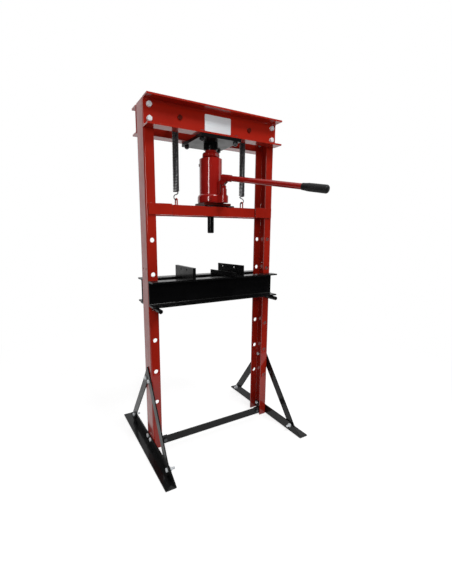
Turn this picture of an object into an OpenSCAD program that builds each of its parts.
// Hydraulic H-frame workshop press with an upright bottle jack.
// X runs along the bed, Y from the pump handle's side to the back, Z up.
// The origin is on the floor, midway between the uprights.

/* [Frame] */
// Height of the uprights
frame_h = 1500; // [1300:10:1900]
// Width over the outer faces of the uprights
frame_w = 650; // [560:5:900]
// Depth of an upright channel, front to back
upright_d = 90; // [86:1:120]
// Width of an upright's flange
upright_flange = 42; // [38:1:60]
// Wall of an upright
upright_wall = 6; // [4:0.5:8]
// Outer bend radius of an upright
upright_bend = 9; // [8.5:0.5:12]

/* [Pin holes] */
// Distance of the hole line from the web's outer face
hole_in = 23; // [20:1:25]
// Height of the lowest pin hole
hole_first = 230; // [200:5:260]
// Distance from one pin hole to the next
hole_pitch = 145; // [120:1:150]
// Number of pin holes in a flange
hole_count = 6; // [5:1:6]
// Row of holes that the bed stands on, counted from 0
bed_row = 3; // [2:1:3]
// Diameter of a support pin
pin_d = 19; // [14:0.5:24]
// Height of the two small holes in an upright's web
port_z = 833; // [700:1:900]
// Slack of a support pin in its hole, on the radius
pin_slack = 0.5; // [0.2:0.1:1]
// How far a support pin sticks out past the bed's flange
pin_stick = 26; // [10:1:60]

/* [Beams] */
// Height of a beam channel
beam_h = 110; // [100:1:140]
// Width of a beam's flange
beam_flange = 54; // [44:1:70]
// Thickness of a beam's web
beam_web = 6; // [4:0.5:9]
// Thickness of a beam's flange
beam_lip = 7; // [5:0.5:10]
// How far a beam runs past the uprights
beam_over = 1; // [0:0.5:20]
// Running gap between the bed's beams and the uprights
bed_gap = 1; // [0.5:0.1:3]

/* [Head plate and cup] */
// Width of the plate under the head beams
head_plate_w = 195; // [180:1:260]
// Thickness of the head plate
head_plate_t = 14; // [8:1:24]
// Distance between the plate's bolts along the beams
plate_bolt_span = 166; // [140:1:170]
// Diameter of the ribbed cup that takes the ram
cup_d = 64; // [58:1:80]
// Height of the cup below the head plate
cup_h = 27; // [14:1:30]
// Number of ribs round the cup
cup_ribs = 16; // [8:1:20]

/* [Jack] */
// Outer diameter of the jack's oil reservoir
jack_d = 103; // [98:1:104]
// Wall of the reservoir
jack_wall = 4; // [3:0.5:6]
// Height from the jack's foot to the shoulder of the reservoir
jack_shoulder = 193; // [186:1:206]
// Height of the cast base
jack_base_h = 38; // [34:1:42]
// Diameter of the cast base
jack_base_d = 121; // [118:1:140]
// Diameter of the ram
ram_d = 38; // [30:1:46]
// Working stroke of the ram
ram_stroke = 150; // [100:5:155]
// Diameter of the gland nut
gland_d = 78; // [76:1:88]

/* [Pump] */
// Direction of the pump, turned from the front towards +X
pump_turn = 20; // [0:1:30]
// Distance from the jack's axis to the pump's axis
pump_reach = 77; // [76.5:0.5:84]
// Outer diameter of the pump barrel
barrel_d = 27; // [24:0.5:27]
// Diameter of the pump plunger
plunger_d = 14; // [12:0.5:15]
// Lever arm from the fulcrum pin to the plunger pin
lever_arm = 19; // [18:0.2:19]
// Swing of the handle, from its lower stop
handle_swing = 30; // [20:1:30]
// Droop of the handle at its lower stop
handle_droop = 10.9; // [6:0.1:12]
// Outer diameter of the handle tube
handle_d = 23; // [18:0.5:24]
// Distance from the jack's axis to the end of the grip, along the level
handle_reach = 549; // [400:1:700]
// Length of the rubber grip
grip_len = 101; // [80:1:140]
// Outer diameter of the rubber grip
grip_d = 31; // [29:0.5:36]
// Height of the fulcrum pin above the jack's foot
fulcrum_h = 87; // [84:1:96]
// Height of the handle's axis above the fulcrum pin, at the socket's inner end
socket_h = 21; // [20.5:0.5:28]
// Diameter of the link pins
link_pin_d = 6; // [5:0.5:6]
// Diameter of the plunger pin
lever_pin_d = 8; // [6:0.5:8]

/* [Moving head] */
// Height of the head's cross bars
bar_h = 43; // [36:1:60]
// Thickness of the head's cross bars
bar_t = 12; // [8:1:16]
// Height of the guide straps
strap_h = 46; // [40:1:60]
// Thickness of the guide straps
strap_t = 6; // [4:0.5:8]
// Length of a guide strap
strap_len = 100; // [90:1:110]
// Running gap between the straps and the uprights
strap_gap = 0.8; // [0.4:0.1:2]
// Thickness of the seat plate on the bars
seat_t = 6; // [5:1:14]
// Reach of the seat plate to the right
seat_right = 96; // [90:1:120]
// Thickness of the pad plate under the jack
pad_t = 11; // [8:1:14]
// Reach of the pad plate to the right
pad_right = 82; // [70:1:90]
// Depth of the pad plate, front to back
pad_d = 90; // [80:1:110]
// Reach of both plates to the left
plate_left = 58; // [50:1:80]
// Diameter of the pressing pin
ram_pin_d = 30; // [20:1:40]
// How far the pressing pin sticks out below the bars
ram_pin_stick = 74; // [40:1:80]

/* [Return springs] */
// Distance from the middle to a return spring
spring_x = 172; // [160:1:176]
// Outer diameter of a return spring
spring_d = 27; // [24:0.5:28]
// Wire of a return spring
spring_wire = 5.4; // [4:0.1:5.6]
// Whole turns of a return spring, to which half a turn is added
spring_turns = 42; // [30:1:42]
// Diameter of the spring hanger rods
hanger_d = 12; // [8:0.5:12]
// Depth of the hanger rods below the top of the head
hanger_drop = 53; // [50:1:60]
// Diameter of the bar that a spring eye is bent from
eye_bar_d = 6; // [5:0.5:7]
// Height of a spring eye above the bars
eye_h = 34; // [30:1:38]

/* [Feet and braces] */
// Length of a foot
foot_len = 625; // [560:5:800]
// Leg of the foot's angle iron
foot_leg = 46; // [45:1:60]
// Wall of the feet, brackets and braces
foot_wall = 5; // [4:0.5:6]
// Width of a brace
brace_w = 40; // [24:1:42]
// Height of the upper brace bolts
brace_top = 326; // [300:1:400]
// Distance from the middle of a foot to its brace bolts
brace_out = 240; // [200:1:250]
// Length of a brace past its bolts
brace_end = 14; // [12:1:15]
// Length of the tie bracket's leg along the tie bar
bracket_leg = 66; // [60:1:80]
// Height of the tie bar's section
tie_h = 35; // [26:1:38]
// Thickness of the tie bar
tie_t = 6; // [4:0.5:8]

/* [Press plates] */
// Height of the taller press plates
block_h = 52; // [44:1:58]
// Length of the press plates across the bed
block_len = 190; // [170:1:220]
// Thickness of the plain press plate
block_t = 14; // [10:1:20]
// Wall of the stepped press plate
step_wall = 6; // [4:0.5:8]
// Height of the stepped plate's low side
step_h = 22; // [16:1:36]
// Width over the stepped plate
step_w = 54; // [40:1:70]
// Place of the plain press plate along the bed
block_x = -145; // [-200:1:-60]
// Place of the stepped press plate along the bed
step_x = 75; // [70:1:160]
// Place of both plates across the bed
block_y = -24; // [-60:1:60]
// Turn of the stepped plate on the bed
step_turn = 7.5; // [0:0.5:9]

/* [Hidden] */
red = [0.62, 0.06, 0.05];
black = [0.08, 0.08, 0.09];
zinc = [0.72, 0.73, 0.74];
steel = [0.55, 0.56, 0.58];
rubber = [0.05, 0.05, 0.05];
$fn = 64;
eps = 0.01;

// Clearances
rest_gap = 0.3;
fit = 0.05;
hole_slack = 0.5;

// Fasteners
bolt_d = 12;
bolt_af = 19;
bolt_head_h = 8;
nut_h = 10;
small_bolt_d = 10;
small_af = 16;
small_head_h = 6.5;
small_nut_h = 8;
thread_stick = 3;

// Frame
web_x = frame_w / 2;
flange_y = upright_d / 2;
flange_mid = web_x - hole_in;
beam_len = frame_w + 2 * beam_over;
beam_tip = flange_y + beam_flange;
head_mid = frame_h - beam_h / 2;
head_bottom = frame_h - beam_h;
head_bolt_drop = 26;
head_bolt_pitch = 52;
beam_corner = 4;
beam_fillet = 6;
hole_d = pin_d + 2 * pin_slack;
hanger_z = frame_h - hanger_drop;

// Heights down from the head to the moving head
plate_bottom = head_bottom - head_plate_t;
cup_bottom = plate_bottom - cup_h;
cup_seat = 5;
jack_top = cup_bottom - rest_gap;
gland_h = 18;
collar_h = 10;
gland_gap = 9;
jack_foot = jack_top - collar_h - gland_h - gland_gap - jack_shoulder;
pad_bottom = jack_foot - pad_t;
bar_top = pad_bottom - seat_t;
bar_bottom = bar_top - bar_h;
ram_pin_bottom = bar_bottom - ram_pin_stick;
strap_y = flange_y + strap_gap;
bar_face = strap_y + strap_t;
strap_step = web_x - upright_flange - 16;
strap_bend = 10;

// Jack
base_top = jack_foot + jack_base_h;
shoulder_z = jack_foot + jack_shoulder;
ram_top = cup_bottom + cup_seat;
ram_len = ram_stroke + 49;
ram_bottom = ram_top - ram_len;
cyl_bore = ram_d + 6;
cyl_wall = 7;
seal_h = 8;

// Pump linkage, laid out in the upright plane through the jack's axis and the pump's
half_swing = handle_swing / 2;
fulcrum_rho = pump_reach - lever_arm * (1 + cos(half_swing)) / 2;
fulcrum_z = jack_foot + fulcrum_h;
lever_rho = fulcrum_rho + lever_arm * cos(half_swing);
lever_z = fulcrum_z - lever_arm * sin(half_swing);
pump_stroke = 2 * lever_arm * sin(half_swing);
fulcrum_eye_r = 5.2;
eye_r = 7;
tang_t = 8;
cheek_in = tang_t / 2 + 0.5;
cheek_t = 4;
link_in = cheek_in + cheek_t + 0.5;
link_t = 4;
link_half = 5;
link_foot_z = base_top + 5;
barrel_top = lever_z - eye_r - 2.5;
socket_wall = 3;
socket_fit = 0.15;
slot_fit = 0.15;
socket_in = fulcrum_rho + 11.6;
socket_out = socket_in + 47;
socket_mid_z = fulcrum_z + socket_h;
socket_d = handle_d + 2 * socket_fit + 2 * socket_wall;

// Return springs
coil_r = (spring_d - spring_wire) / 2;
top_hook_r = 11;
low_hook_r = 13;
eye_bar_z = bar_top + eye_h - eye_bar_d / 2;
top_hook_z = hanger_z + hanger_d / 2 + rest_gap + spring_wire / 2 - top_hook_r;
low_hook_z = eye_bar_z - eye_bar_d / 2 - rest_gap - spring_wire / 2 + low_hook_r;
top_drop = 4;
low_drop = 8;
coil_top = top_hook_z - top_hook_r - top_drop;
coil_low = low_hook_z + low_hook_r + low_drop;
turns = spring_turns + 0.5;
rings_per_turn = 8;
wire_sides = 6;

// Bed
bed_bottom = hole_first + bed_row * hole_pitch + pin_d / 2 + rest_gap;
bed_top = bed_bottom + beam_h;
bed_y = flange_y + bed_gap;
pin_end = bed_y + beam_flange + pin_stick;
block_z = bed_top + 0.2;
block_hole_d = 10;
block_hole_up = 39;

// Feet and braces
foot_bolt_z = 36;
foot_bolt_y = 19;
port_y = 20;
port_d = 9;
brace_top_y = 22;
brace_foot_z = 32;
brace_part = 0.6;
stud_stick = 14;
tie_z = 8;
tie_y = flange_y - upright_wall - 0.5;
bracket_h = 46;
tie_bolt_in = 53;
corner_clear = 3.5;

// Places the children on the left and, mirrored, on the right
module both_sides() {
  children();
  mirror([1, 0, 0]) children();
}

// Places the children at the front and, mirrored, at the back
module front_and_rear() {
  children();
  mirror([0, 1, 0]) children();
}

// Turns the children so that their X axis is the pump's radial direction
module in_pump_plane() {
  rotate([0, 0, pump_turn - 90]) children();
}

// Cylinder along Y through (x, z)
module y_rod(x, z, d, y0, y1) {
  translate([x, y1, z]) rotate([90, 0, 0]) cylinder(d = d, h = y1 - y0);
}

// Cylinder along X through (y, z)
module x_rod(y, z, d, x0, x1) {
  translate([x0, y, z]) rotate([0, 90, 0]) cylinder(d = d, h = x1 - x0);
}

// Hexagonal bolt pointing down -Z with the underside of its head at z = 0
module bolt(d, af, head, grip_len_) {
  cylinder(d = af / cos(30), h = head, $fn = 6);
  translate([0, 0, -grip_len_]) cylinder(d = d, h = grip_len_ + eps);
}

// Hexagonal nut whose seat is at z = 0 and which lies below it
module nut(d, af, h) {
  translate([0, 0, -h]) difference() {
    cylinder(d = af / cos(30), h = h, $fn = 6);
    translate([0, 0, -1]) cylinder(d = d + 2 * fit, h = h + 2);
  }
}

// Blank of a channel section: a rectangle with round corners at x = 0
module channel_blank(w, h, r) {
  translate([0, -h / 2 + r]) square([w, h - 2 * r]);
  translate([r, -h / 2]) square([w - r, h]);
  for (s = [-1, 1]) translate([r, s * (h / 2 - r)]) circle(r);
}

// Channel section with its web at x = 0, open towards +X
module channel(w, h, web, lip, r_out, r_in) {
  difference() {
    channel_blank(w, h, r_out);
    translate([web, 0]) channel_blank(w, h - 2 * lip, r_in);
  }
}

// Beam channel centred on the origin along X, its web's back at y = 0, open towards -Y
module beam() {
  rotate([90, 0, -90]) linear_extrude(beam_len, center = true)
    channel(beam_flange, beam_h, beam_web, beam_lip, beam_corner, beam_fillet);
}

// Left upright with its pin holes and bolt holes
module upright() {
  difference() {
    translate([-web_x, 0, 0]) linear_extrude(frame_h) channel(
      upright_flange, upright_d, upright_wall, upright_wall, upright_bend, upright_bend - upright_wall);
    for (i = [0 : hole_count - 1])
      y_rod(-flange_mid, hole_first + i * hole_pitch, hole_d, -upright_d, upright_d);
    for (i = [0, 1])
      y_rod(-flange_mid, frame_h - head_bolt_drop - i * head_bolt_pitch,
        bolt_d + 2 * hole_slack, -upright_d, upright_d);
    for (y = [-brace_top_y, brace_top_y])
      x_rod(y, brace_top, small_bolt_d + 2 * hole_slack, -web_x - 1, -web_x + upright_wall + 1);
    for (y = [-foot_bolt_y, foot_bolt_y])
      x_rod(y, foot_bolt_z, small_bolt_d + 2 * hole_slack, -web_x - 1, -web_x + upright_wall + 1);
    for (y = [-port_y, port_y])
      x_rod(y, port_z, port_d, -web_x - 1, -web_x + upright_wall + 1);
  }
}

module left_upright() {
  color(red) upright();
}

module right_upright() {
  color(red) mirror([1, 0, 0]) upright();
}

// Front head beam with its bolt, hanger and plate holes
module head_beam() {
  difference() {
    translate([0, -flange_y, head_mid]) beam();
    for (s = [-1, 1], i = [0, 1])
      y_rod(s * flange_mid, frame_h - head_bolt_drop - i * head_bolt_pitch, bolt_d + 2 * hole_slack,
        -flange_y - beam_flange, -flange_y + 1);
    for (s = [-1, 1])
      y_rod(s * spring_x, hanger_z, hanger_d + 2 * hole_slack, -flange_y - beam_flange, -flange_y + 1);
    for (s = [-1, 1])
      translate([s * plate_bolt_span / 2, -plate_bolt_y, head_bottom - 1])
        cylinder(d = bolt_d + 2 * hole_slack, h = beam_lip + 2);
  }
}

plate_bolt_y = flange_y + (beam_web + beam_flange) / 2;

module front_head_beam() {
  color(red) head_beam();
}

module rear_head_beam() {
  color(red) mirror([0, 1, 0]) head_beam();
}

// Bolt through the beam's web and the upright's flange, head outside
module head_bolts() {
  color(zinc) both_sides() front_and_rear() for (i = [0, 1])
    translate([-flange_mid, -flange_y - beam_web, frame_h - head_bolt_drop - i * head_bolt_pitch])
      rotate([90, 0, 0]) bolt(bolt_d, bolt_af, bolt_head_h, beam_web + upright_wall + nut_h + thread_stick);
}

module head_nuts() {
  color(zinc) both_sides() front_and_rear() for (i = [0, 1])
    translate([-flange_mid, -flange_y + upright_wall, frame_h - head_bolt_drop - i * head_bolt_pitch])
      rotate([90, 0, 0]) nut(bolt_d, bolt_af, nut_h);
}

module head_plate() {
  color(black) difference() {
    translate([-head_plate_w / 2, -beam_tip, plate_bottom])
      cube([head_plate_w, 2 * beam_tip, head_plate_t]);
    for (x = [-1, 1], y = [-1, 1])
      translate([x * plate_bolt_span / 2, y * plate_bolt_y, plate_bottom - 1])
        cylinder(d = bolt_d + 2 * hole_slack, h = head_plate_t + 2);
  }
}

module plate_bolts() {
  color(zinc) both_sides() front_and_rear()
    translate([-plate_bolt_span / 2, -plate_bolt_y, head_bottom + beam_lip])
      bolt(bolt_d, bolt_af, bolt_head_h, beam_lip + head_plate_t + nut_h + thread_stick);
}

module plate_nuts() {
  color(zinc) both_sides() front_and_rear()
    translate([-plate_bolt_span / 2, -plate_bolt_y, plate_bottom]) nut(bolt_d, bolt_af, nut_h);
}

// Ribbed cup under the head plate, with a seat for the ram's end
module ram_cup() {
  rib_r = PI * cup_d / cup_ribs / 4.4;
  color(black) difference() {
    union() {
      translate([0, 0, cup_bottom]) cylinder(d1 = cup_d - 10, d2 = cup_d - 4, h = cup_h);
      for (i = [0 : cup_ribs - 1]) rotate([0, 0, i * 360 / cup_ribs])
        translate([cup_d / 2 - rib_r, 0, cup_bottom + 4]) cylinder(r = rib_r, h = cup_h - 5, $fn = 24);
    }
    translate([0, 0, cup_bottom - 1]) cylinder(d = ram_d + 2 * hole_slack, h = cup_seat + 1);
  }
}

// Rod through both beams with a round cap at each end
module spring_hangers() {
  cap_d = hanger_d + 8;
  cap_t = 5;
  y_end = flange_y + beam_web;
  color(black) both_sides() {
    y_rod(-spring_x, hanger_z, hanger_d, -y_end - cap_t, y_end + cap_t);
    y_rod(-spring_x, hanger_z, cap_d, -y_end - cap_t, -y_end);
    y_rod(-spring_x, hanger_z, cap_d, y_end, y_end + cap_t);
  }
}

// Path of a spring's wire: top hook, coil and low hook; s is the side that the hooks bulge to
function hook_point(s, z, r, a) = [s * r * sin(a), 0, z - r * cos(a)];
function turn_point(r, a, z) = [r * cos(a), r * sin(a), z];
top_tip = 285;
low_tip = 215;
hook_step = 25;
function spring_path(s) = let (
  a0 = s > 0 ? 180 : 0,
  pitch = (coil_top - coil_low) / turns,
  n = turns * rings_per_turn,
  tip = hook_point(s, top_hook_z, top_hook_r, top_tip),
  tip_way = [s * cos(top_tip), 0, sin(top_tip)],
  end = hook_point(s, low_hook_z, low_hook_r, 180 - low_tip),
  end_way = [-s * cos(180 - low_tip), 0, -sin(180 - low_tip)])
  concat(
    [tip + spring_wire * tip_way],
    [for (a = [top_tip : -hook_step : 1]) hook_point(s, top_hook_z, top_hook_r, a)],
    [for (t = [0 : 0.5 : 0.5])
      turn_point(coil_r * sin(90 * t), a0 + 90 * t, coil_top + top_drop * (1 - t))],
    [for (i = [0 : n])
      turn_point(coil_r, a0 + 90 + i * 360 / rings_per_turn, coil_top - pitch * i / rings_per_turn)],
    [for (t = [0.5 : 0.5 : 1])
      turn_point(coil_r * cos(90 * t), a0 + 90 + turns * 360 + 90 * t, coil_low - low_drop * t)],
    [for (a = [180 - hook_step : -hook_step : 180 - low_tip]) hook_point(s, low_hook_z, low_hook_r, a)],
    [end + spring_wire * end_way]);

function unit(v) = v / norm(v);
function tangents(p) = [for (i = [0 : len(p) - 1]) unit(p[min(i + 1, len(p) - 1)] - p[max(i - 1, 0)])];
function normals(t) = [for (i = 0, n = [0, 1, 0]; i < len(t);
  i = i + 1, n = i < len(t) ? unit(n - (n * t[i]) * t[i]) : n) n];

// Least distance between stretches of a wire that lie more than a turn's quarter apart, less the wire
function self_gap(p, d) = min([for (i = [0 : len(p) - 4], j = [i + 3 : len(p) - 1]) norm(p[i] - p[j])]) - d;

// Tube of triangles round a path
module wire_tube(path, d) {
  t = tangents(path);
  n = normals(t);
  m = len(path);
  k = wire_sides;
  pts = [for (i = [0 : m - 1], j = [0 : k - 1])
    path[i] + d / 2 * (cos(j * 360 / k) * n[i] + sin(j * 360 / k) * cross(t[i], n[i]))];
  side = [for (i = [0 : m - 2], j = [0 : k - 1])
    let (a = i * k + j, b = i * k + (j + 1) % k) each [[a, a + k, b], [b, a + k, b + k]]];
  caps = [for (j = [1 : k - 2]) each [[0, j, j + 1], [(m - 1) * k, (m - 1) * k + j + 1, (m - 1) * k + j]]];
  polyhedron(points = pts, faces = concat(side, caps));
}

module return_spring(s) {
  path = spring_path(s);
  echo(side = s, least_gap_of_the_wire_to_itself_mm = self_gap(path, spring_wire));
  translate([s * spring_x, 0, 0]) wire_tube(path, spring_wire);
}

module left_return_spring() {
  color(black) return_spring(-1);
}

module right_return_spring() {
  color(black) return_spring(1);
}

// Angle-iron foot along Y: sole outwards on the floor, upright leg on the web, its ends cut aslant
module foot() {
  half = foot_len / 2;
  toe_h = 6;
  color(black) difference() {
    union() {
      translate([-web_x - foot_leg, -half, 0]) cube([foot_leg, foot_len, foot_wall]);
      translate([-web_x, 0, 0]) rotate([90, 0, -90]) linear_extrude(foot_wall)
        polygon([
          [-half, 0], [half, 0], [half, toe_h],
          [brace_out, foot_leg], [-brace_out, foot_leg], [-half, toe_h]]);
    }
    for (y = [-foot_bolt_y, foot_bolt_y])
      x_rod(y, foot_bolt_z, small_bolt_d + 2 * hole_slack, -web_x - foot_wall - 1, -web_x + 1);
    for (y = [-brace_out, brace_out])
      x_rod(y, brace_foot_z, small_bolt_d + 2 * hole_slack, -web_x - foot_wall - 1, -web_x + 1);
  }
}

module left_foot() {
  foot();
}

module right_foot() {
  mirror([1, 0, 0]) foot();
}

// Flat-bar brace from the web to the outside of the foot, joggled by its own thickness above the foot
module brace() {
  run = brace_out - brace_top_y;
  rise = brace_top - brace_foot_z;
  length = norm([run, rise]);
  tilt = atan2(rise, run);
  joggle_in = (foot_leg - brace_foot_z + foot_wall + brace_w / 2 * cos(tilt)) / sin(tilt);
  joggle_out = joggle_in + 3 * foot_wall;
  end = length + brace_end;
  color(black) difference() {
    translate([-web_x, -brace_out, brace_foot_z]) rotate([tilt, 0, 0]) difference() {
      rotate([0, 0, 90]) linear_extrude(brace_w, center = true) polygon([
        [-brace_end, foot_wall], [joggle_in, foot_wall], [joggle_out, 0], [end, 0], [end, foot_wall],
        [joggle_out, foot_wall], [joggle_in, 2 * foot_wall], [-brace_end, 2 * foot_wall]]);
      for (y = [0, length])
        rotate([0, 90, 0]) translate([0, y, -3 * foot_wall])
          cylinder(d = small_bolt_d + 2 * hole_slack, h = 4 * foot_wall);
    }
    translate([-web_x - 2 * foot_wall, -brace_part, brace_top - brace_w])
      cube([4 * foot_wall, brace_w, 2 * brace_w]);
  }
}

module front_left_brace() {
  brace();
}

module rear_left_brace() {
  mirror([0, 1, 0]) brace();
}

module front_right_brace() {
  mirror([1, 0, 0]) brace();
}

module rear_right_brace() {
  mirror([1, 0, 0]) mirror([0, 1, 0]) brace();
}

// Brace bolts: the upper ones through brace and web, the longer lower ones through brace and foot
module brace_bolts() {
  color(zinc) both_sides() front_and_rear() {
    translate([-web_x - foot_wall, -brace_top_y, brace_top]) rotate([0, -90, 0])
      bolt(small_bolt_d, small_af, small_head_h, foot_wall + upright_wall + small_nut_h + thread_stick);
    translate([-web_x - 2 * foot_wall, -brace_out, brace_foot_z]) rotate([0, -90, 0])
      bolt(small_bolt_d, small_af, small_head_h, 2 * foot_wall + small_nut_h + stud_stick);
  }
}

module brace_nuts() {
  color(zinc) both_sides() front_and_rear() {
    translate([-web_x + upright_wall, -brace_top_y, brace_top]) rotate([0, -90, 0])
      nut(small_bolt_d, small_af, small_nut_h);
    translate([-web_x, -brace_out, brace_foot_z]) rotate([0, -90, 0])
      nut(small_bolt_d, small_af, small_nut_h);
  }
}

// Bolts through the foot, the web and the tie bracket
module foot_bolts() {
  color(zinc) both_sides() for (y = [-foot_bolt_y, foot_bolt_y])
    translate([-web_x - foot_wall, y, foot_bolt_z]) rotate([0, -90, 0])
      bolt(small_bolt_d, small_af, small_head_h, 2 * foot_wall + upright_wall + small_nut_h + thread_stick);
}

module foot_nuts() {
  color(zinc) both_sides() for (y = [-foot_bolt_y, foot_bolt_y])
    translate([-web_x + upright_wall + foot_wall, y, foot_bolt_z]) rotate([0, -90, 0])
      nut(small_bolt_d, small_af, small_nut_h);
}

// Flat bar between the uprights near the floor
module tie_bar() {
  half = web_x - upright_wall - foot_wall - 1;
  color(black) difference() {
    translate([-half, -tie_y, tie_z]) cube([2 * half, tie_t, tie_h]);
    for (s = [-1, 1])
      y_rod(s * (web_x - upright_wall - tie_bolt_in), tie_z + tie_h / 2,
        small_bolt_d + 2 * hole_slack, -tie_y - 1, 0);
  }
}

// Bracket that carries the tie bar's end on the web
module tie_bracket() {
  x0 = -web_x + upright_wall;
  y0 = -tie_y + tie_t;
  color(black) difference() {
    union() {
      translate([x0, y0, tie_z]) cube([foot_wall, flange_y - upright_wall - corner_clear - y0, bracket_h]);
      translate([x0, y0, tie_z]) cube([bracket_leg, foot_wall, bracket_h]);
    }
    for (y = [-foot_bolt_y, foot_bolt_y])
      x_rod(y, foot_bolt_z, small_bolt_d + 2 * hole_slack, x0 - 1, x0 + foot_wall + 1);
    y_rod(x0 + tie_bolt_in, tie_z + tie_h / 2,
      small_bolt_d + 2 * hole_slack, y0 - 1, y0 + foot_wall + 1);
  }
}

module left_tie_bracket() {
  tie_bracket();
}

module right_tie_bracket() {
  mirror([1, 0, 0]) tie_bracket();
}

module tie_bolts() {
  color(zinc) both_sides()
    translate([-web_x + upright_wall + tie_bolt_in, -tie_y, tie_z + tie_h / 2]) rotate([90, 0, 0])
      bolt(small_bolt_d, small_af, small_head_h, tie_t + foot_wall + small_nut_h + thread_stick);
}

module tie_nuts() {
  color(zinc) both_sides()
    translate([-web_x + upright_wall + tie_bolt_in, -tie_y + tie_t + foot_wall, tie_z + tie_h / 2])
      rotate([90, 0, 0]) nut(small_bolt_d, small_af, small_nut_h);
}

// Ram, held up in the cup, with its lower end in the cylinder
module jack_ram() {
  neck = 4;
  color(steel) union() {
    translate([0, 0, ram_bottom + seal_h]) cylinder(d = ram_d, h = ram_len - seal_h);
    translate([0, 0, ram_bottom]) cylinder(d = ram_d - 2 * neck, h = seal_h + 1);
  }
}

module ram_seal() {
  color(rubber) translate([0, 0, ram_bottom]) difference() {
    cylinder(d = cyl_bore - 2 * fit, h = seal_h);
    translate([0, 0, -1]) cylinder(d = ram_d - 8 + 2 * fit, h = seal_h + 2);
  }
}

// Cross bar of the moving head
module head_bar() {
  color(red) translate([-strap_step, -bar_face, bar_bottom]) cube([2 * strap_step, bar_t, bar_h]);
}

module front_head_bar() {
  head_bar();
}

module rear_head_bar() {
  mirror([0, 1, 0]) head_bar();
}

// Left pair of Z-bent straps: on the bar's face, then stepped back along the upright's flange
module guide_straps() {
  tip = -web_x + upright_bend;
  step_in = -strap_step;
  step_out = step_in - strap_bend;
  color(red) front_and_rear() translate([0, 0, bar_bottom]) linear_extrude(strap_h) polygon([
    [tip, -strap_y], [step_out, -strap_y], [step_in, -bar_face], [tip + strap_len, -bar_face],
    [tip + strap_len, -bar_face - strap_t], [step_in, -bar_face - strap_t],
    [step_out, -bar_face], [tip, -bar_face]]);
}

module left_guide_straps() {
  guide_straps();
}

module right_guide_straps() {
  mirror([1, 0, 0]) guide_straps();
}

// Plate across the bars that carries the jack and the pressing pin
module jack_seat_plate() {
  color(black) translate([-plate_left, -bar_face, bar_top])
    cube([plate_left + seat_right, 2 * bar_face, seat_t]);
}

// Pad plate under the jack's foot
module jack_pad_plate() {
  color(black) translate([-plate_left, -pad_d / 2, pad_bottom])
    cube([plate_left + pad_right, pad_d, pad_t]);
}

// Strips across the bars that carry the spring eyes
module spring_bridges() {
  strip = 30;
  strip_t = 8;
  color(red) both_sides()
    translate([-spring_x - strip / 2, -bar_face + bar_t, bar_top - strip_t])
      cube([strip, 2 * (bar_face - bar_t), strip_t]);
}

// Eye bent from round bar, standing on its strip with the bow across Y
module spring_eyes() {
  bow_r = 10;
  leg = eye_h - eye_bar_d / 2 - bow_r;
  color(red) both_sides() translate([-spring_x, 0, bar_top]) {
    for (s = [-1, 1]) translate([0, s * bow_r, 0]) cylinder(d = eye_bar_d, h = leg, $fn = 32);
    translate([0, 0, leg]) rotate([90, 0, 90])
      rotate_extrude(angle = 180, $fn = 48) translate([bow_r, 0]) circle(d = eye_bar_d, $fn = 32);
  }
}

// Pressing pin under the seat plate
module pressing_pin() {
  tip = 3;
  color(black) union() {
    translate([0, 0, ram_pin_bottom + tip]) cylinder(d = ram_pin_d, h = bar_top - ram_pin_bottom - tip);
    translate([0, 0, ram_pin_bottom]) cylinder(d1 = ram_pin_d - 2 * tip, d2 = ram_pin_d, h = tip);
  }
}

// Cast base: round flared foot, pump block and the lug that holds the links
module jack_base() {
  r = jack_base_d / 2;
  block_half = 20;
  block_h = jack_base_h - 9.5;
  collar_top = jack_base_h - 5;
  lug_in = jack_d / 2 - 2;
  color(red) difference() {
    union() {
      translate([0, 0, jack_foot]) rotate_extrude() polygon([
        [0, 0], [r - 6, 0], [r - 2, 2.5], [r, 8], [r, jack_base_h - 12], [r - 2.5, jack_base_h - 4],
        [jack_d / 2 + 2, jack_base_h], [0, jack_base_h]]);
      in_pump_plane() {
        translate([0, -block_half, jack_foot]) cube([pump_reach, 2 * block_half, block_h]);
        translate([pump_reach, 0, jack_foot]) cylinder(r = block_half, h = block_h);
        translate([pump_reach, 0, jack_foot]) cylinder(d = barrel_d + 6, h = collar_top);
        translate([lug_in, -link_in + 0.3, base_top - 6])
          cube([fulcrum_rho + link_half - lug_in, 2 * (link_in - 0.3), 6 + 10]);
      }
    }
    translate([0, 0, base_top - 8]) cylinder(d = jack_d + 2 * fit, h = 40);
    translate([0, 0, base_top - 14]) cylinder(d = cyl_bore + 2 * cyl_wall + 2 * fit, h = 40);
    in_pump_plane() {
      translate([pump_reach, 0, jack_foot + 12]) cylinder(d = barrel_d + 2 * fit, h = 60);
      translate([pump_reach, 0, jack_foot + 8]) cylinder(d = plunger_d, h = 60);
      y_rod(fulcrum_rho, link_foot_z, link_pin_d + 2 * fit, -40, 40);
    }
    rotate([0, 0, valve_turn]) x_rod(0, valve_z, valve_d + 2 * fit, r - 22, r + 20);
  }
}

valve_turn = pump_turn - 90 - 50;
valve_d = 12;
valve_z = jack_foot + 16;

// Reservoir tube with a rolled shoulder
module jack_reservoir() {
  r = jack_d / 2;
  neck_r = gland_d / 2 - 4;
  rim_r = gland_d / 2 + 1;
  foot = base_top - 8;
  rim = shoulder_z + 7;
  color(red) difference() {
    union() {
      translate([0, 0, foot]) cylinder(r = r, h = shoulder_z - foot);
      translate([0, 0, shoulder_z]) cylinder(r1 = r, r2 = rim_r, h = rim - shoulder_z);
      translate([0, 0, rim - eps]) cylinder(r = neck_r, h = jack_top - collar_h - gland_h - rim + eps);
    }
    translate([0, 0, foot - 1]) cylinder(r = r - jack_wall, h = shoulder_z - foot - 3);
    translate([0, 0, foot]) cylinder(r = neck_r - jack_wall, h = 400);
    rotate([0, 0, plug_turn]) x_rod(0, plug_z, plug_d + 2 * fit, r - 2 * jack_wall, r + 1);
  }
}

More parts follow.
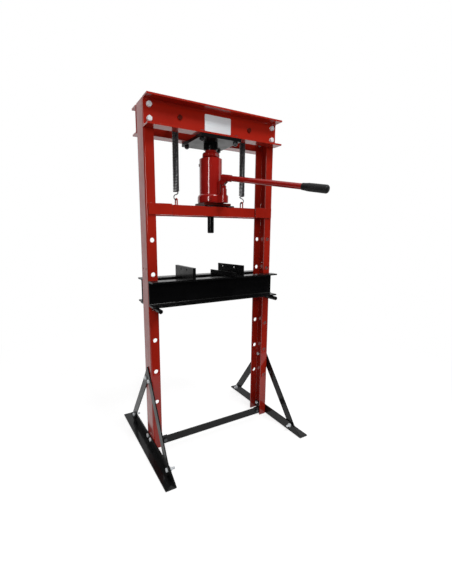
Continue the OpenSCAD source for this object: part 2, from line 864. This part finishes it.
plug_turn = 150;
plug_z = shoulder_z - 24;
plug_d = 9;

// Pressure cylinder inside the reservoir
module jack_cylinder() {
  z0 = base_top - 14;
  z1 = jack_top - collar_h - gland_h;
  color(steel) difference() {
    translate([0, 0, z0]) cylinder(d = cyl_bore + 2 * cyl_wall, h = z1 - z0);
    translate([0, 0, z0 + 6]) cylinder(d = cyl_bore, h = z1 - z0);
  }
}

// Gland nut with eight flats and a round collar that the ram runs through
module jack_gland_nut() {
  z0 = jack_top - collar_h - gland_h;
  color(red) difference() {
    union() {
      intersection() {
        translate([0, 0, z0]) cylinder(d = gland_d + 4, h = gland_h, $fn = 8);
        translate([0, 0, z0]) cylinder(d1 = gland_d + 20, d2 = gland_d - 8, h = gland_h);
      }
      translate([0, 0, z0]) cylinder(d = ram_d + 14, h = gland_h + collar_h);
    }
    translate([0, 0, z0 - 1]) cylinder(d = ram_d + 2 * fit, h = gland_h + collar_h + 2);
  }
}

module filler_plug() {
  color(rubber) rotate([0, 0, plug_turn]) union() {
    x_rod(0, plug_z, plug_d, jack_d / 2 - jack_wall, jack_d / 2 + 2.4);
    x_rod(0, plug_z, plug_d + 4, jack_d / 2 + 0.4, jack_d / 2 + 2.4);
  }
}

// Pump barrel screwed into the base, with a six-sided gland at its top
module pump_barrel() {
  z0 = jack_foot + 12;
  gland = 14;
  color(red) in_pump_plane() translate([pump_reach, 0, 0]) difference() {
    union() {
      translate([0, 0, z0]) cylinder(d = barrel_d, h = barrel_top - gland - z0);
      translate([0, 0, barrel_top - gland - eps]) cylinder(d = barrel_d - 2, h = gland + eps, $fn = 6);
    }
    translate([0, 0, z0 + 4]) cylinder(d = plunger_d + 2 * fit, h = 200);
  }
}

// Pair of link plates from the lug on the base up to the fulcrum pin
module pump_links() {
  color(red) in_pump_plane() for (s = [0, 1]) mirror([0, s, 0]) difference() {
    union() {
      translate([fulcrum_rho - link_half, link_in, link_foot_z])
        cube([2 * link_half, link_t, fulcrum_z - link_foot_z]);
      y_rod(fulcrum_rho, link_foot_z, 2 * link_half, link_in, link_in + link_t);
      y_rod(fulcrum_rho, fulcrum_z, 2 * link_half, link_in, link_in + link_t);
    }
    y_rod(fulcrum_rho, link_foot_z, link_pin_d + 2 * fit, 0, 40);
    y_rod(fulcrum_rho, fulcrum_z, link_pin_d + 2 * fit, 0, 40);
  }
}

// Pins at the foot and at the top of the links, each with a flat head and a clip
module link_pins() {
  end = link_in + link_t + fit;
  cap_t = 1.6;
  color(steel) in_pump_plane() for (z = [link_foot_z, fulcrum_z]) {
    y_rod(fulcrum_rho, z, link_pin_d, -end - cap_t, end + cap_t);
    for (s = [0, 1]) mirror([0, s, 0]) y_rod(fulcrum_rho, z, link_pin_d + 3, end, end + cap_t);
  }
}

// Plunger whose flat tang holds the plunger pin in a short slot
module pump_plunger() {
  z0 = jack_foot + 18;
  slot = lever_arm * (1 - cos(half_swing)) / 2 + 0.3;
  tang_low = lever_z - 11;
  color(steel) in_pump_plane() translate([pump_reach, 0, 0]) difference() {
    union() {
      translate([0, 0, z0]) cylinder(d = plunger_d, h = tang_low - z0);
      intersection() {
        translate([0, 0, tang_low - eps]) cylinder(d = plunger_d, h = lever_z + 6 - tang_low);
        translate([-plunger_d, -tang_t / 2, tang_low - 1]) cube([2 * plunger_d, tang_t, 40]);
      }
    }
    for (x = [-slot, slot]) y_rod(x, lever_z, lever_pin_d + 2 * slot_fit, -20, 20);
    translate([-slot, -20, lever_z - lever_pin_d / 2 - slot_fit])
      cube([2 * slot, 40, lever_pin_d + 2 * slot_fit]);
  }
}

// Plane shape of a socket cheek: round ends at both pins and a gusset up to the socket
module cheek_shape() {
  translate([fulcrum_rho, fulcrum_z]) circle(r = fulcrum_eye_r);
  translate([lever_rho, lever_z]) circle(r = eye_r);
  polygon([
    [fulcrum_rho - 1, fulcrum_z - fulcrum_eye_r + 0.2], [lever_rho - 1, lever_z - eye_r + 0.1],
    [lever_rho + eye_r - 0.5, lever_z - 2], [socket_out - 10, socket_mid_z - 12],
    [socket_in + 3, socket_mid_z], [socket_in, socket_mid_z - 3],
    [fulcrum_rho - 1, fulcrum_z + fulcrum_eye_r - 0.2]]);
}

// Places the children on the handle's axis, X along it, zero over the socket's inner end
module on_handle() {
  in_pump_plane() translate([socket_in, 0, socket_mid_z]) rotate([0, handle_droop, 0]) children();
}

handle_len = (handle_reach - socket_in) / cos(handle_droop);
socket_len = (socket_out - socket_in) / cos(handle_droop);

// Handle socket: a tube with two cheeks that hang on the fulcrum pin
module handle_socket() {
  color(red) difference() {
    union() {
      on_handle() x_rod(0, 0, socket_d, 0, socket_len);
      in_pump_plane() for (s = [0, 1]) mirror([0, s, 0])
        translate([0, cheek_in + cheek_t, 0]) rotate([90, 0, 0]) linear_extrude(cheek_t) cheek_shape();
    }
    on_handle() x_rod(0, 0, handle_d + 2 * socket_fit, -1, socket_len + 1);
    in_pump_plane() {
      y_rod(fulcrum_rho, fulcrum_z, link_pin_d + 2 * fit, -20, 20);
      y_rod(lever_rho, lever_z, lever_pin_d + 2 * fit, -20, 20);
    }
  }
}

module plunger_pin() {
  end = cheek_in + cheek_t + 0.2;
  color(steel) in_pump_plane() y_rod(lever_rho, lever_z, lever_pin_d, -end, end);
}

// Handle tube from the socket to inside the grip
module handle_tube() {
  wall = 2.5;
  color(red) on_handle() difference() {
    x_rod(0, 0, handle_d, 2, handle_len - 5);
    x_rod(0, 0, handle_d - 2 * wall, 1, handle_len);
  }
}

// Rubber grip with a domed end
module handle_grip() {
  dome = 7;
  r = grip_d / 2;
  color(rubber) on_handle() difference() {
    union() {
      x_rod(0, 0, grip_d, handle_len - grip_len, handle_len - dome);
      translate([handle_len - dome, 0, 0]) rotate([0, 90, 0]) rotate_extrude() union() {
        square([r - dome, dome]);
        intersection() {
          translate([r - dome, 0]) circle(r = dome);
          square([r, dome]);
        }
      }
    }
    x_rod(0, 0, handle_d + 2 * fit, handle_len - grip_len - 1, handle_len - 5 + 2 * fit);
  }
}

// Release valve screw with a cross slot in its head
module release_valve() {
  r = jack_base_d / 2;
  head = 12;
  color(red) rotate([0, 0, valve_turn]) difference() {
    union() {
      x_rod(0, valve_z, valve_d, r - 20, r + head - 1);
      x_rod(0, valve_z, valve_d + 3, r + 2, r + head);
    }
    translate([r + head - 4, -valve_d, valve_z - 1.5]) cube([10, 2 * valve_d, 3]);
  }
}

// Front bed beam; the bed carries no bolts
module bed_front_beam() {
  color(black) translate([0, -bed_y, bed_bottom + beam_h / 2]) beam();
}

module bed_rear_beam() {
  color(black) mirror([0, 1, 0]) translate([0, -bed_y, bed_bottom + beam_h / 2]) beam();
}

// Plates welded between the bed's beams
module bed_spacers() {
  spacer_t = 10;
  spacer_h = beam_h - 24;
  color(black) both_sides()
    translate([-web_x + upright_flange + 18, -bed_y, bed_bottom + 12])
      cube([spacer_t, 2 * bed_y, spacer_h]);
}

// Plain round pin through both flanges, under the bed
module support_pin() {
  z = hole_first + bed_row * hole_pitch;
  bevel = 2;
  color(black) translate([-flange_mid, 0, z]) rotate([90, 0, 0]) union() {
    translate([0, 0, -pin_end + bevel]) cylinder(d = pin_d, h = 2 * (pin_end - bevel));
    for (s = [0, 1]) mirror([0, 0, s]) translate([0, 0, pin_end - bevel])
      cylinder(d1 = pin_d, d2 = pin_d - 2 * bevel, h = bevel);
  }
}

module left_support_pin() {
  support_pin();
}

module right_support_pin() {
  mirror([1, 0, 0]) support_pin();
}

// Plain press plate standing on edge across the bed
module plain_press_plate() {
  color(black) difference() {
    translate([block_x - block_t / 2, block_y - block_len / 2, block_z])
      cube([block_t, block_len, block_h]);
    for (y = [-33, 30])
      x_rod(block_y + y, block_z + block_hole_up, block_hole_d, block_x - block_t, block_x + block_t);
  }
}

// Stepped press plate: a bent section with one tall and one low side
module stepped_press_plate() {
  color(black) translate([step_x, block_y, block_z]) rotate([0, 0, step_turn]) difference() {
    translate([0, block_len / 2, 0]) rotate([90, 0, 0]) linear_extrude(block_len) difference() {
      translate([-step_w / 2, 0]) square([step_w, block_h]);
      translate([-step_w / 2 + step_wall, step_wall]) square([step_w - 2 * step_wall, block_h]);
      translate([-step_w / 2 - 1, step_h]) square([step_wall + 2, block_h]);
    }
    for (y = [-26, 60]) x_rod(y, block_hole_up, block_hole_d, 0, step_w);
  }
}

left_upright();
right_upright();
front_head_beam();
rear_head_beam();
head_bolts();
head_nuts();
head_plate();
plate_bolts();
plate_nuts();
ram_cup();
spring_hangers();
left_return_spring();
right_return_spring();
left_foot();
right_foot();
front_left_brace();
rear_left_brace();
front_right_brace();
rear_right_brace();
brace_bolts();
brace_nuts();
foot_bolts();
foot_nuts();
tie_bar();
left_tie_bracket();
right_tie_bracket();
tie_bolts();
tie_nuts();
jack_ram();
ram_seal();
front_head_bar();
rear_head_bar();
left_guide_straps();
right_guide_straps();
jack_seat_plate();
jack_pad_plate();
spring_bridges();
spring_eyes();
pressing_pin();
jack_base();
jack_reservoir();
jack_cylinder();
jack_gland_nut();
filler_plug();
pump_barrel();
pump_links();
link_pins();
pump_plunger();
handle_socket();
plunger_pin();
handle_tube();
handle_grip();
release_valve();
bed_front_beam();
bed_rear_beam();
bed_spacers();
left_support_pin();
right_support_pin();
plain_press_plate();
stepped_press_plate();
